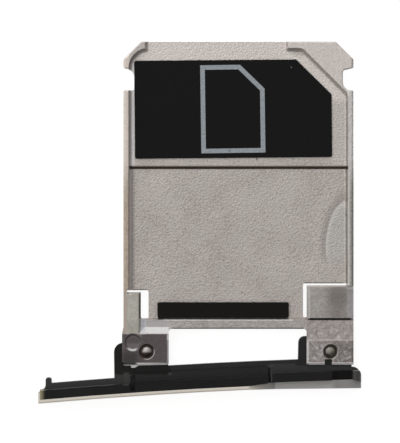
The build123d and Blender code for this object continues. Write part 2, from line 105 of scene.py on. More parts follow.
class Bench:
    """Node tree of one material, with short calls for the nodes it is made of."""

    def __init__(self, name: str) -> None:
        """Starts a material that has only its shader and its output.

        Args:
            name: name of the material.
        """
        self.material = bpy.data.materials.new(name)
        self.material.use_nodes = True
        self.tree = self.material.node_tree
        self.tree.nodes.clear()
        self.shader = self.add("ShaderNodeBsdfPrincipled")
        output = self.add("ShaderNodeOutputMaterial")
        self.link(self.shader.outputs["BSDF"], output.inputs["Surface"])
        self._place: Optional[bpy.types.NodeSocket] = None
        self._axes: Optional[bpy.types.Node] = None

    def add(self, kind: str) -> bpy.types.Node:
        """Adds a node of a type that Blender knows by this name."""
        return self.tree.nodes.new(kind)

    def link(self, source: bpy.types.NodeSocket, target: bpy.types.NodeSocket) -> None:
        """Joins an output to an input."""
        self.tree.links.new(source, target)

    def feed(self, target: bpy.types.NodeSocket, value: object) -> None:
        """Links a socket to an input, or sets the input to a plain number or colour.

        Args:
            target: input to fill.
            value: output socket, number or colour.
        """
        if isinstance(value, bpy.types.NodeSocket):
            self.link(value, target)
        else:
            target.default_value = value

    def place(self) -> bpy.types.NodeSocket:
        """Gives the position on the piece in millimetres.

        Returns:
            The position, made once for each material.
        """
        if self._place is None:
            coordinates = self.add("ShaderNodeTexCoord")
            scale = self.add("ShaderNodeVectorMath")
            scale.operation = "SCALE"
            scale.inputs["Scale"].default_value = 1.0 / MM
            self.link(coordinates.outputs["Object"], scale.inputs[0])
            self._place = scale.outputs["Vector"]
        return self._place

    def axis(self, axis: Axis) -> bpy.types.NodeSocket:
        """Gives one coordinate of the position.

        Args:
            axis: coordinate to read.

        Returns:
            The coordinate in millimetres.
        """
        if self._axes is None:
            self._axes = self.add("ShaderNodeSeparateXYZ")
            self.link(self.place(), self._axes.inputs[0])
        return self._axes.outputs[axis.value]

    def stretched(self, scale: Place, turn_deg: float) -> bpy.types.NodeSocket:
        """Gives the position turned about Z and then scaled along each axis.

        Args:
            scale: factor along X, Y and Z.
            turn_deg: turn about Z in degrees.

        Returns:
            The new position.
        """
        mapping = self.add("ShaderNodeMapping")
        mapping.inputs["Scale"].default_value = scale
        mapping.inputs["Rotation"].default_value = (0.0, 0.0, math.radians(turn_deg))
        self.link(self.place(), mapping.inputs["Vector"])
        return mapping.outputs["Vector"]

    def noise(self, per_mm: float, detail: float = 2.0, rough: float = 0.5,
              place: Optional[bpy.types.NodeSocket] = None) -> bpy.types.NodeSocket:
        """Gives soft random mottling from about 0 to 1.

        Args:
            per_mm: cells to the millimetre.
            detail: octaves.
            rough: weight of the finer octaves.
            place: position to read, the plain one if left out.

        Returns:
            The noise value.
        """
        node = self.add("ShaderNodeTexNoise")
        node.inputs["Scale"].default_value = per_mm
        node.inputs["Detail"].default_value = detail
        node.inputs["Roughness"].default_value = rough
        self.link(place or self.place(), node.inputs["Vector"])
        return node.outputs["Fac"]

    def pits(self, per_mm: float) -> bpy.types.NodeSocket:
        """Gives the distance to the nearest of many scattered points.

        Args:
            per_mm: points to the millimetre.

        Returns:
            The distance, in cells.
        """
        node = self.add("ShaderNodeTexVoronoi")
        node.inputs["Scale"].default_value = per_mm
        self.link(self.place(), node.inputs["Vector"])
        return node.outputs["Distance"]

    def remap(self, value: bpy.types.NodeSocket, source: Span, target: Span,
              soft: bool = False) -> bpy.types.NodeSocket:
        """Maps a range of values to another one, and holds it at the ends.

        Args:
            value: value to map.
            source: low and high of the value.
            target: what they become.
            soft: ease in and out.

        Returns:
            The mapped value.
        """
        node = self.add("ShaderNodeMapRange")
        node.interpolation_type = "SMOOTHSTEP" if soft else "LINEAR"
        for name, number in zip(MAP_ENDS, (*source, *target)):
            node.inputs[name].default_value = number
        self.link(value, node.inputs["Value"])
        return node.outputs["Result"]

    def combine(self, blend: Blend, one: object, two: object) -> bpy.types.NodeSocket:
        """Combines two values.

        Args:
            blend: the way to combine them.
            one: socket or number.
            two: socket or number.

        Returns:
            The result.
        """
        node = self.add("ShaderNodeMath")
        node.operation = blend.value
        self.feed(node.inputs[0], one)
        self.feed(node.inputs[1], two)
        return node.outputs[0]

    def mix(self, share: bpy.types.NodeSocket, low: object, high: object) -> bpy.types.NodeSocket:
        """Mixes two colours.

        Args:
            share: share of the second colour.
            low: colour or socket at share 0.
            high: colour or socket at share 1.

        Returns:
            The mixed colour.
        """
        node = self.add("ShaderNodeMix")
        node.data_type = "RGBA"
        sockets = [s for s in node.inputs if s.type == "RGBA"]
        self.link(share, node.inputs[0])
        for socket, colour in zip(sockets, (low, high)):
            self.feed(socket, colour if isinstance(colour, bpy.types.NodeSocket) else (*colour, 1.0))
        return next(s for s in node.outputs if s.type == "RGBA")

    def blend(self, share: bpy.types.NodeSocket, low: object, high: object) -> bpy.types.NodeSocket:
        """Mixes two numbers.

        Args:
            share: share of the second number.
            low: number or socket at share 0.
            high: number or socket at share 1.

        Returns:
            The mixed number.
        """
        node = self.add("ShaderNodeMix")
        node.data_type = "FLOAT"
        self.link(share, node.inputs[0])
        self.feed(node.inputs[MIX_LOW], low)
        self.feed(node.inputs[MIX_HIGH], high)
        return node.outputs[0]

    def within(self, axis: Axis, span: Span, soft: float) -> bpy.types.NodeSocket:
        """Gives 1 where a coordinate is in a span and 0 outside it.

        Args:
            axis: coordinate to read.
            span: low and high end in millimetres.
            soft: half the width of the soft edge in millimetres.

        Returns:
            The mask.
        """
        low, high = span
        value = self.axis(axis)
        rise = self.remap(value, (low - soft, low + soft), RISE, soft=True)
        fall = self.remap(value, (high - soft, high + soft), FALL, soft=True)
        return self.combine(Blend.MULTIPLY, rise, fall)

    def oval(self, centre: Pair, radii: Pair) -> bpy.types.NodeSocket:
        """Gives the distance in plan from a point, in which an oval round it is at 1.

        Args:
            centre: X and Y of the point in millimetres.
            radii: half the oval's size along X and Y in millimetres.

        Returns:
            The distance.
        """
        offset = self.add("ShaderNodeVectorMath")
        offset.operation = "SUBTRACT"
        self.link(self.place(), offset.inputs[0])
        offset.inputs[1].default_value = (*centre, 0.0)
        flat = self.add("ShaderNodeVectorMath")
        flat.operation = "MULTIPLY"
        self.link(offset.outputs["Vector"], flat.inputs[0])
        flat.inputs[1].default_value = (1.0 / radii[0], 1.0 / radii[1], 0.0)
        length = self.add("ShaderNodeVectorMath")
        length.operation = "LENGTH"
        self.link(flat.outputs["Vector"], length.inputs[0])
        return length.outputs["Value"]

    def open_sky(self, reach_mm: float) -> bpy.types.NodeSocket:
        """Gives 1 on open faces and less in corners, where walls stand close.

        Args:
            reach_mm: how far off a wall still counts, in millimetres.

        Returns:
            The openness.
        """
        node = self.add("ShaderNodeAmbientOcclusion")
        node.only_local = True
        node.samples = SKY_RAYS
        node.inputs["Distance"].default_value = reach_mm * MM
        return node.outputs["AO"]

    def relief(self, height: bpy.types.NodeSocket, depth_mm: float,
               under: Optional[bpy.types.NodeSocket] = None) -> bpy.types.NodeSocket:
        """Turns a height into a bumped normal.

        Args:
            height: height from 0 to 1.
            depth_mm: depth of the relief in millimetres.
            under: normal of a coarser relief below this one.

        Returns:
            The normal.
        """
        node = self.add("ShaderNodeBump")
        node.inputs["Distance"].default_value = depth_mm * MM
        self.link(height, node.inputs["Height"])
        if under is not None:
            self.link(under, node.inputs["Normal"])
        return node.outputs["Normal"]

    def surface(self, colour: bpy.types.NodeSocket, rough: object, metallic: object,
                normal: bpy.types.NodeSocket) -> bpy.types.Material:
        """Fills the shader.

        Args:
            colour: base colour.
            rough: roughness or socket.
            metallic: 1 for bare metal, 0 for the rest, or a socket.
            normal: bumped normal.

        Returns:
            The finished material.
        """
        self.link(colour, self.shader.inputs["Base Color"])
        self.feed(self.shader.inputs["Roughness"], rough)
        self.feed(self.shader.inputs["Metallic"], metallic)
        self.link(normal, self.shader.inputs["Normal"])
        return self.material


@dataclass(frozen=True)
class Mottle:
    """Soft random mottling, read between two values of its noise."""

    per_mm: float
    detail: float = 2.0
    rough: float = 0.5
    span: Span = NOISE_SPAN

    def noise(self, bench: Bench, place: Optional[bpy.types.NodeSocket] = None) -> bpy.types.NodeSocket:
        """Gives the plain noise, at the plain position or at another one."""
        return bench.noise(self.per_mm, self.detail, self.rough, place)

    def value(self, bench: Bench, target: Span = RISE) -> bpy.types.NodeSocket:
        """Gives the noise mapped from its own span to the target."""
        return bench.remap(self.noise(bench), self.span, target)


@dataclass(frozen=True)
class Area:
    """Block of the tray's space. Places in millimetres."""

    x_span: Span
    y_span: Span
    z_span: Span = ALL_HEIGHTS
    soft: Pair = (0.04, 0.04)
    step: float = 0.03

    def mask(self, bench: Bench) -> bpy.types.NodeSocket:
        """Gives 1 inside the block and 0 outside it.

        Args:
            bench: the material's nodes.

        Returns:
            The mask.
        """
        plan = bench.combine(
            Blend.MULTIPLY, bench.within(Axis.X, self.x_span, self.soft[0]),
            bench.within(Axis.Y, self.y_span, self.soft[1]))
        if self.z_span == ALL_HEIGHTS:
            return plan
        return bench.combine(Blend.MULTIPLY, plan, bench.within(Axis.Z, self.z_span, self.step))


@dataclass(frozen=True)
class Patch:
    """Area of the sheet that differs from its blasted floor."""

    area: Area
    colour: Colour
    rough: float = 0.34
    metal: float = 1.0
    stain: float = 0.0
    cover: float = 0.86


@dataclass(frozen=True)
class Smooth:
    """Area of the sheet where pressing has left only a share of the grain."""

    area: Area
    grain: float


@dataclass(frozen=True)
class RivetSeat:
    """Painted shade in the counterbore round one rivet. Places in millimetres."""

    centre: Pair
    radius: float = SEAT_RADIUS
    edge: float = 0.015
    level: float = 0.40


@dataclass(frozen=True)
class Spot:
    """Oval mark, ring, painted highlight or painted shade on the sheet, with a tone of its own. Distances
    are in shares of its radii.
    """

    area: Area
    centre: Pair
    radii: Pair
    span: Span
    colour: Colour
    share: float = 1.0
    soft: Pair = (0.03, 0.03)
    metal: Optional[float] = None

    def mask(self, bench: Bench) -> bpy.types.NodeSocket:
        """Gives the spot's share inside it and 0 outside it.

        Args:
            bench: the material's nodes.

        Returns:
            The mask.
        """
        away = bench.oval(self.centre, self.radii)
        low, high = self.span
        rise = bench.remap(away, (low - self.soft[0], low + self.soft[0]), (0.0, self.share), soft=True)
        fall = bench.remap(away, (high - self.soft[1], high + self.soft[1]), FALL, soft=True)
        ring = bench.combine(Blend.MULTIPLY, rise, fall)
        return bench.combine(Blend.MULTIPLY, self.area.mask(bench), ring)


@dataclass(frozen=True)
class Bulge:
    """Faint oval bulge pressed up in the floor. Places in millimetres."""

    centre: Pair = (6.2, -3.45)
    radii: Pair = (1.31, 2.6)
    slope: Span = (0.93, 1.03)
    height: float = 0.006


# Heights that tell the floor, the rails and the rivet seats' rims from what lies above or below
BELOW_RIM: Span = (-1.0, 0.42)
RAIL: Span = (0.50, 2.0)
SEAT_RIM: Span = (0.36, 2.0)
# Distances of spots: a low end below the middle makes a full oval and not a ring
INNER = -1.0
INSIDE: Span = (INNER, 1.0)
BLURRED: Pair = (0.3, 0.3)
# Places that several marks share
EVERYWHERE = Area((-20.0, 20.0), (-20.0, 20.0))
BULGE = Bulge()
BULGE_AREA = Area((-6.0, 5.98), (-4.1, 0.6), (-1.0, 0.30), (0.02, 0.5))
DIMPLE_AREA = Area((-6.60, -5.30), (-9.4, -8.2))
DIMPLE: Pair = (-5.90, -8.79)
DIMPLE_RADII: Pair = (0.48, 0.48)
SEAT_LEFT: Pair = (-5.13, -9.32)
SEAT_RIGHT: Pair = (5.13, -9.32)
SEAT_RADII: Pair = (SEAT_RADIUS, SEAT_RADIUS)


@dataclass(frozen=True)
class BlastedSteel:
    """Warm grey stainless sheet, finely blasted, with smooth pressed legs and worn rails, and painted light
    and shade on many edges, walls, creases and recesses.
    """

    dark: Colour = (0.375, 0.337, 0.315)
    light: Colour = (0.598, 0.546, 0.513)
    tint: Colour = (0.485, 0.457, 0.42)
    # Painted shade for creases, corners and the rivets' counterbores
    painted_shade: Colour = (0.035, 0.024, 0.018)
    stain: Colour = (0.13, 0.10, 0.098)
    fleck: Colour = (0.78, 0.75, 0.73)
    grain: Mottle = Mottle(9.0, 3.0, 0.6, (0.25, 0.75))
    grain_depth: float = 0.0165
    grain_span: Span = (0.1, 0.9)
    grain_tone: Span = (-0.06, 0.84)
    rough_span: Span = (0.2, 0.8)
    rough: Span = (0.36, 0.46)
    blotch: Mottle = Mottle(0.55, 3.0)
    blotch_tone: Span = (-0.08, 0.36)
    tints: Mottle = Mottle(1.1, span=(0.4, 0.6))
    tint_share: float = 0.45
    specks_per_mm: float = 3.1
    speck_span: Span = (0.08, 0.20)
    speck_share: float = 0.35
    streaks: Mottle = Mottle(2.2, 3.0, 0.6)
    streak_rise: Span = (0.45, 0.50)
    streak_fall: Span = (0.50, 0.55)
    blots: Mottle = Mottle(4.4, 4.0, 0.7, (0.54, 0.66))
    stain_share: float = 0.8
    flecks: Mottle = Mottle(5.0, 3.0, 0.65, (0.55, 0.66))
    fleck_share: float = 0.45
    fleck_area: Area = Area((3.95, 6.36), (-9.90, -7.70), soft=(0.05, 0.05))
    # Reach, span and share of the painted shade in creases and corners
    shade_reach: float = 0.22
    shade_span: Span = (0.40, 0.80)
    shade_share: float = 0.25
    seat_share: float = 0.95
    bulge: Bulge = BULGE
    seats: tuple[RivetSeat, ...] = (RivetSeat(SEAT_LEFT), RivetSeat(SEAT_RIGHT))
    patches: tuple[Patch, ...] = (
        # Painted light on the floor of the nose and on the shelf at the cut corner
        Patch(
            Area((-5.60, 3.00), (6.90, 8.20), BELOW_RIM, (0.3, 0.15)), (0.715, 0.655, 0.617), 0.42,
            cover=0.5),
        Patch(
            Area((2.40, 6.60), (4.50, 8.20), (0.55, 2.0)), (0.70, 0.645, 0.61), 0.42,
            stain=0.1, cover=0.5),
        # Left rail, and its lower half
        Patch(Area((-6.60, -6.10), (-6.0, 9.0), RAIL), (0.66, 0.59, 0.53), stain=0.16),
        Patch(Area((-6.60, -6.10), (-8.3, 0.5), RAIL, (0.04, 1.6)), (0.425, 0.356, 0.287), stain=0.35),
        # Right rail, its lighter outer and darker lower parts, painted shade on its outer side and a painted
        # highlight on its inner edge
        Patch(Area((6.10, 6.60), (-7.0, 5.4), RAIL), (0.60, 0.58, 0.56), stain=0.25),
        Patch(Area((6.27, 6.60), (-1.0, 5.4), RAIL, (0.02, 1.2)), (0.80, 0.77, 0.75), stain=0.25),
        Patch(Area((6.18, 6.60), (-7.0, 0.5), RAIL, (0.03, 1.2)), (0.39, 0.37, 0.345), stain=0.35),
        Patch(Area((6.34, 6.60), (-7.0, 0.5), (0.10, 2.0), (0.02, 1.2)), (0.31, 0.30, 0.285)),
        Patch(Area((6.05, 6.17), (-5.7, 5.4), (0.57, 2.0), (0.02, 0.1)), (0.72, 0.69, 0.66), metal=0.9),
        # Foot of the bay's walls and the walls at left, painted lighter, and painted shade beside the left
        # wall's lower part
        Patch(
            Area((-6.30, 5.98), (-5.9, 7.75), (0.39, 0.56), (0.02, 0.05), 0.02), (0.60, 0.56, 0.53),
            0.5, 0.4),
        Patch(Area((-6.04, -5.80), (1.0, 7.2), (0.20, 0.42), (0.02, 0.1)), (0.72, 0.685, 0.68), 0.42, 0.7),
        Patch(Area((-6.15, -5.97), (-6.0, 0.95), (0.20, 0.62), (0.02, 0.1)), (0.66, 0.61, 0.59), 0.5, 0.2),
        Patch(Area((-5.97, -5.80), (-6.0, 0.9), (0.0, 0.40), (0.03, 0.3)), (0.35, 0.32, 0.30)),
        # Floor beside the film: right of it and along its cut corner
        Patch(
            Area((5.25, 6.00), (1.15, 5.20), BELOW_RIM, (0.1, 0.2)), (0.58, 0.54, 0.508), 0.42,
            cover=0.35),
        Patch(
            Area((2.60, 6.00), (4.70, 7.30), BELOW_RIM, (0.3, 0.3)), (0.75, 0.695, 0.653), 0.42,
            cover=0.5),
        # End lip of the floor, its left end, and a painted highlight on its broken edge
        Patch(Area((-5.25, -3.95), (-7.93, -7.60), soft=(0.1, 0.05)), (0.45, 0.43, 0.43), 0.42),
        Patch(
            Area((-3.80, 3.90), (-8.05, -7.56), soft=(0.1, 0.03)), (0.475, 0.438, 0.416), 0.42,
            stain=0.4, cover=0.3),
        Patch(Area((-4.20, 3.00), (-7.58, -7.47), soft=(0.1, 0.02)), (0.80, 0.76, 0.72), 0.42, 0.7),
        # Left leg: end with a painted dark reflection, painted shade in its corner, tab, painted shade at
        # the tab's foot and right side, its left side, and painted light on its top edge where the rail's
        # shadow falls
        Patch(Area((-6.60, -3.70), (-10.3, -8.33)), (0.074, 0.064, 0.063), 0.26, stain=0.15),
        Patch(Area((-6.60, -5.60), (-10.3, -9.30), soft=(0.3, 0.3)), (0.055, 0.050, 0.050), 0.26),
        Patch(Area((-6.24, -5.46), (-8.28, -5.95)), (0.462, 0.443, 0.395), 0.28, stain=0.3),
        Patch(Area((-6.20, -5.40), (-8.32, -7.75), soft=(0.08, 0.3)), (0.37, 0.355, 0.315), 0.28, stain=0.2),
        Patch(Area((-5.60, -5.36), (-8.28, -5.95), soft=(0.08, 0.06)), (0.30, 0.285, 0.265), 0.3),
        Patch(Area((-6.50, -6.22), (-8.28, -5.95)), (0.37, 0.315, 0.27), 0.3),
        Patch(Area((-6.27, -6.00), (-6.14, -5.96), soft=(0.03, 0.02)), (0.80, 0.77, 0.73), 0.6, 0.0),
        # Ramp of the left leg, painted lighter, and a painted highlight on the fold beside it
        Patch(Area((-5.50, -3.85), (-8.31, -7.95)), (0.625, 0.609, 0.609), 0.34),
        Patch(Area((-5.46, -5.20), (-8.32, -7.40), soft=(0.03, 0.08)), (0.58, 0.58, 0.62), 0.4, 0.5),
        # Right leg: pad with painted shade on its right side, painted highlights on its left edge and slope,
        # and painted light on its top edge
        Patch(Area((3.70, 6.09), (-7.45, -5.70), soft=(0.1, 0.04)), (0.40, 0.375, 0.352), stain=0.38),
        Patch(Area((5.00, 6.09), (-7.45, -5.70), soft=(0.5, 0.1)), (0.255, 0.23, 0.218), stain=0.3),
        Patch(Area((5.10, 6.05), (-6.70, -5.85), soft=(0.3, 0.3)), (0.215, 0.197, 0.182)),
        Patch(Area((3.80, 4.00), (-7.40, -5.72), soft=(0.06, 0.05)), (0.50, 0.475, 0.45), metal=0.9),
        Patch(
            Area((6.09, 6.60), (-7.45, -5.70), soft=(0.03, 0.04)), (0.57, 0.535, 0.535),
            metal=0.7, stain=0.2),
        Patch(Area((6.08, 6.60), (-5.82, -5.60), (-1.0, 0.47), (0.03, 0.05)), (0.70, 0.67, 0.65), 0.6, 0.1),
        # Right leg: band, stained end and its right side, and painted shade in the groove
        Patch(Area((3.75, 6.40), (-8.60, -7.56)), (0.405, 0.366, 0.349), 0.36, stain=0.6),
        Patch(Area((3.90, 6.40), (-10.0, -8.72)), (0.343, 0.315, 0.306), 0.36, stain=0.85),
        Patch(Area((5.30, 6.60), (-10.0, -8.72), soft=(0.4, 0.04)), (0.262, 0.243, 0.229), 0.36, stain=0.9),
        Patch(Area((3.98, 6.27), (-7.57, -7.43), soft=(0.06, 0.012)), (0.012, 0.010, 0.009), 0.6, 0.3),
        # Painted highlights on the cut edges at the legs' ends and inner sides
        Patch(Area((-5.70, -3.90), (-10.2, -9.945), soft=(0.1, 0.015)), (0.93, 0.91, 0.89), 0.5, 0.05),
        Patch(Area((-6.60, -5.60), (-10.3, -10.03), soft=(0.1, 0.02)), (0.62, 0.60, 0.58), 0.5, 0.1),
        Patch(Area((3.90, 6.40), (-10.2, -9.92), soft=(0.05, 0.015)), (0.93, 0.91, 0.89), 0.5, 0.05),
        Patch(Area((3.70, 3.93), (-9.95, -8.72), soft=(0.02, 0.05)), (0.66, 0.63, 0.62), 0.5, 0.3),
        Patch(Area((-4.00, -3.70), (-9.95, -8.33), soft=(0.015, 0.05)), (0.60, 0.58, 0.57), 0.5, 0.4),
        # Painted shade along the step between the two floors
        Patch(Area((-6.10, 6.10), (0.885, 1.06), soft=(0.05, 0.05)), (0.042, 0.025, 0.018), 0.5),
    )
    smooth: tuple[Smooth, ...] = (
        Smooth(Area((-7.00, 7.00), (-6.00, 9.00), (0.39, 2.0)), 0.55),
        Smooth(Area((-6.60, -3.70), (-10.4, -7.60)), 0.3),
        Smooth(Area((-6.60, -5.40), (-8.30, -5.90)), 0.5),
        Smooth(Area((3.70, 6.60), (-10.2, -5.72)), 0.7),
    )
    spots: tuple[Spot, ...] = (
        # Small dark marks: below the film, on the floor and at the right wall
        Spot(EVERYWHERE, (1.03, 1.44), (0.035, 0.10), INSIDE, (0.06, 0.045, 0.04), 0.8, BLURRED),
        Spot(EVERYWHERE, (0.21, -6.02), (0.05, 0.045), INSIDE, (0.06, 0.05, 0.045), 0.75, BLURRED),
        Spot(EVERYWHERE, (5.98, -1.68), (0.05, 0.06), INSIDE, (0.06, 0.05, 0.045), 0.75, BLURRED),
        # Bulge: painted light on its face, a painted highlight on its rim and painted shade at its foot
        Spot(BULGE_AREA, BULGE.centre, BULGE.radii, (INNER, 0.97), (0.50, 0.485, 0.46), 0.75),
        Spot(BULGE_AREA, BULGE.centre, BULGE.radii, (0.88, 0.985), (0.72, 0.70, 0.67), 0.30, (0.07, 0.02)),
        Spot(BULGE_AREA, BULGE.centre, BULGE.radii, (1.01, 1.22), (0.27, 0.24, 0.23), 0.5, (0.02, 0.14)),
        # Dimple: its darker floor and wall, and painted highlights on the low side of both
        Spot(DIMPLE_AREA, DIMPLE, DIMPLE_RADII, (INNER, 0.75), (0.105, 0.086, 0.088), 0.6),
        Spot(DIMPLE_AREA, DIMPLE, DIMPLE_RADII, (0.72, 1.05), (0.115, 0.10, 0.10), 0.95, metal=0.15),
        Spot(
            Area((-6.30, -5.50), (-9.2, -8.86), soft=(0.1, 0.1)), DIMPLE, DIMPLE_RADII, (INNER, 0.75),
            (0.20, 0.18, 0.175), 0.5),
        Spot(
            Area((-6.18, -5.70), (-9.4, -9.08), soft=(0.12, 0.06)), DIMPLE, DIMPLE_RADII, (0.80, 1.04),
            (0.70, 0.67, 0.65), 0.95, (0.06, 0.04), 0.2),
        # Painted highlights on the rims of the rivet seats: left, and two of the right one
        Spot(
            Area((-5.25, -4.50), (-9.9, -9.2), SEAT_RIM, (0.15, 0.15)), SEAT_LEFT, SEAT_RADII, (1.03, 1.17),
            (0.56, 0.53, 0.51), 0.75, metal=0.2),
        Spot(
            Area((4.50, 5.13), (-9.5, -8.9), SEAT_RIM, (0.1, 0.1)), SEAT_RIGHT, SEAT_RADII, (1.02, 1.22),
            (0.70, 0.67, 0.65), 0.6, metal=0.3),
        Spot(
            Area((5.20, 5.80), (-9.8, -9.2), SEAT_RIM, (0.1, 0.1)), SEAT_RIGHT, SEAT_RADII, (1.02, 1.20),
            (0.62, 0.59, 0.57), 0.4, metal=0.3),
    )

    def material(self) -> bpy.types.Material:
        """Builds the steel's material.

        Returns:
            The material.
        """
        bench = Bench("blasted_steel")
        grain = self.grain.value(bench)
        finish = self._sheet(bench, grain)
        stain = self._stains(bench)
        for patch in self.patches:
            finish = self._lay(bench, patch, finish, grain, stain)
        colour, rough, metal = finish
        worn = self.flecks.value(bench, (0.0, self.fleck_share))
        worn = bench.combine(Blend.MULTIPLY, worn, self.fleck_area.mask(bench))
        colour = bench.mix(worn, colour, self.fleck)
        for spot in self.spots:
            mask = spot.mask(bench)
            colour = bench.mix(mask, colour, spot.colour)
            if spot.metal is not None:
                metal = bench.blend(mask, metal, spot.metal)
        # Painted shade in creases and corners, where walls stand close, and in the rivets' counterbores
        painted_shade = bench.remap(bench.open_sky(self.shade_reach), self.shade_span, (self.shade_share, 0.0))
        colour = bench.mix(painted_shade, colour, self.painted_shade)
        for seat in self.seats:
            colour = bench.mix(self._seat_mask(bench, seat), colour, self.painted_shade)
        return bench.surface(colour, rough, metal, self._relief(bench, grain))

    def _sheet(self, bench: Bench, grain: bpy.types.NodeSocket) -> Sequence[object]:
        """Gives colour, roughness and metallic share of the blasted floor.

        Args:
            bench: the material's nodes.
            grain: fine grain of the sheet.

        Returns:
            The three values.
        """
        tone = bench.combine(
            Blend.ADD, bench.remap(grain, self.grain_span, self.grain_tone),
            self.blotch.value(bench, self.blotch_tone))
        colour = bench.mix(tone, self.dark, self.light)
        colour = bench.mix(self.tints.value(bench, (0.0, self.tint_share)), colour, self.tint)
        specks = bench.remap(bench.pits(self.specks_per_mm), self.speck_span, (self.speck_share, 0.0))
        colour = bench.mix(specks, colour, self.stain)
        return colour, bench.remap(grain, self.rough_span, self.rough), 1.0

    def _stains(self, bench: Bench) -> bpy.types.NodeSocket:
        """Gives thin winding marks and blots, as worn plating shows them.

        Args:
            bench: the material's nodes.

        Returns:
            The mask.
        """
        streak = self.streaks.noise(bench)
        lines = bench.combine(
            Blend.MULTIPLY, bench.remap(streak, self.streak_rise, (0.0, self.stain_share)),
            bench.remap(streak, self.streak_fall, FALL))
        return bench.combine(Blend.MAXIMUM, lines, self.blots.value(bench, (0.0, self.stain_share)))

    def _lay(self, bench: Bench, patch: Patch, under: Sequence[object], grain: bpy.types.NodeSocket,
             stain: bpy.types.NodeSocket) -> Sequence[object]:
        """Lays one patch over the finish below it.

        Args:
            bench: the material's nodes.
            patch: the area and its finish.
            under: colour, roughness and metallic share so far.
            grain: fine grain of the sheet, of which a little shows through.
            stain: mask of the stains.

        Returns:
            The new colour, roughness and metallic share.
        """
        colour, rough, metal = under
        mask = patch.area.mask(bench)
        share = bench.combine(Blend.MULTIPLY, mask, bench.remap(grain, RISE, (patch.cover, 1.0)))
        colour = bench.mix(share, colour, patch.colour)
        if patch.stain:
            marks = bench.combine(Blend.MULTIPLY, mask, bench.combine(Blend.MULTIPLY, stain, patch.stain))
            colour = bench.mix(marks, colour, self.stain)
        return colour, bench.blend(mask, rough, patch.rough), bench.blend(mask, metal, patch.metal)

    def _seat_mask(self, bench: Bench, seat: RivetSeat) -> bpy.types.NodeSocket:
        """Gives the share of shade in a rivet's counterbore, below its bevelled rim.

        Args:
            bench: the material's nodes.
            seat: the counterbore.

        Returns:
            The mask.
        """
        edge = seat.edge / seat.radius
        distance = bench.oval(seat.centre, (seat.radius, seat.radius))
        inside = bench.remap(distance, (1.0 - edge, 1.0 + edge), (self.seat_share, 0.0))
        below = bench.remap(bench.axis(Axis.Z), (seat.level - seat.edge, seat.level + seat.edge), FALL)
        return bench.combine(Blend.MULTIPLY, inside, below)

    def _relief(self, bench: Bench, grain: bpy.types.NodeSocket) -> bpy.types.NodeSocket:
        """Gives the normal of the pressed bulge with the grain over it.

        Args:
            bench: the material's nodes.
            grain: fine grain of the sheet.

        Returns:
            The normal.
        """
        away = bench.oval(self.bulge.centre, self.bulge.radii)
        pressed = bench.relief(bench.remap(away, self.bulge.slope, FALL, soft=True), self.bulge.height)
        height = grain
        for smooth in self.smooth:
            share = bench.remap(smooth.area.mask(bench), RISE, (1.0, smooth.grain))
            height = bench.combine(Blend.MULTIPLY, height, share)
        return bench.relief(height, self.grain_depth, pressed)


@dataclass(frozen=True)
class BlackFilm:
    """Thin matt black film with a faint orange-peel face and one speck of dust."""

    dark: Colour = (0.0054, 0.0054, 0.0054)
    light: Colour = (0.0096, 0.0095, 0.0093)
    peel: Mottle = Mottle(4.0)
    peel_depth: float = 0.004
    rough: Span = (0.5, 0.62)
    gloss: float = 0.08
    speck: Colour = (0.30, 0.30, 0.30)
    speck_centre: Pair = (2.95, 6.57)
    speck_radii: Pair = (0.035, 0.04)
    speck_edge: Span = (0.6, 1.0)
    speck_share: float = 0.8

    def material(self) -> bpy.types.Material:
        """Builds the film's material.

        Returns:
            The material.
        """
        bench = Bench("black_film")
        peel = self.peel.noise(bench)
        colour = bench.mix(peel, self.dark, self.light)
        away = bench.oval(self.speck_centre, self.speck_radii)
        colour = bench.mix(bench.remap(away, self.speck_edge, (self.speck_share, 0.0)), colour, self.speck)
        rough = bench.remap(peel, NOISE_SPAN, self.rough)
        bench.shader.inputs["Specular IOR Level"].default_value = self.gloss
        return bench.surface(colour, rough, 0.0, bench.relief(peel, self.peel_depth))


@dataclass(frozen=True)
class PrintInk:
    """Pale blue-grey ink, laid a little unevenly, with one flaw."""

    thin: Colour = (0.244, 0.275, 0.297)
    full: Colour = (0.352, 0.386, 0.413)
    cover: Mottle = Mottle(9.0)
    cover_depth: float = 0.003
    flaw: Colour = (0.06, 0.062, 0.064)
    flaw_centre: Pair = (-0.51, 1.92)
    flaw_radii: Pair = (0.06, 0.11)
    flaw_edge: Span = (0.5, 1.0)
    flaw_share: float = 0.6
    rough: float = 0.6

    def material(self) -> bpy.types.Material:
        """Builds the ink's material.

        Returns:
            The material.
        """
        bench = Bench("print_ink")
        cover = self.cover.value(bench)
        colour = bench.mix(cover, self.thin, self.full)
        away = bench.oval(self.flaw_centre, self.flaw_radii)
        colour = bench.mix(bench.remap(away, self.flaw_edge, (self.flaw_share, 0.0)), colour, self.flaw)
        return bench.surface(colour, self.rough, 0.0, bench.relief(cover, self.cover_depth))


@dataclass(frozen=True)
class GripRubber:
    """Soft black rubber with a dull open grain."""

    dark: Colour = (0.0066, 0.0061, 0.0052)
    light: Colour = (0.0155, 0.0147, 0.0129)
    grain: Mottle = Mottle(7.0, 3.0)
    grain_depth: float = 0.012
    rough: Span = (0.6, 0.8)
    gloss: float = 0.06

    def material(self) -> bpy.types.Material:
        """Builds the rubber's material.

        Returns:
            The material.
        """
        bench = Bench("grip_rubber")
        grain = self.grain.noise(bench)
        colour = bench.mix(grain, self.dark, self.light)
        rough = bench.remap(grain, NOISE_SPAN, self.rough)
        bench.shader.inputs["Specular IOR Level"].default_value = self.gloss
        return bench.surface(colour, rough, 0.0, bench.relief(grain, self.grain_depth))


@dataclass(frozen=True)
class Tone:
    """Part of the moulding with a tone of its own; most are painted light or shade."""

    area: Area
    colour: Colour
    gloss: float = 0.25


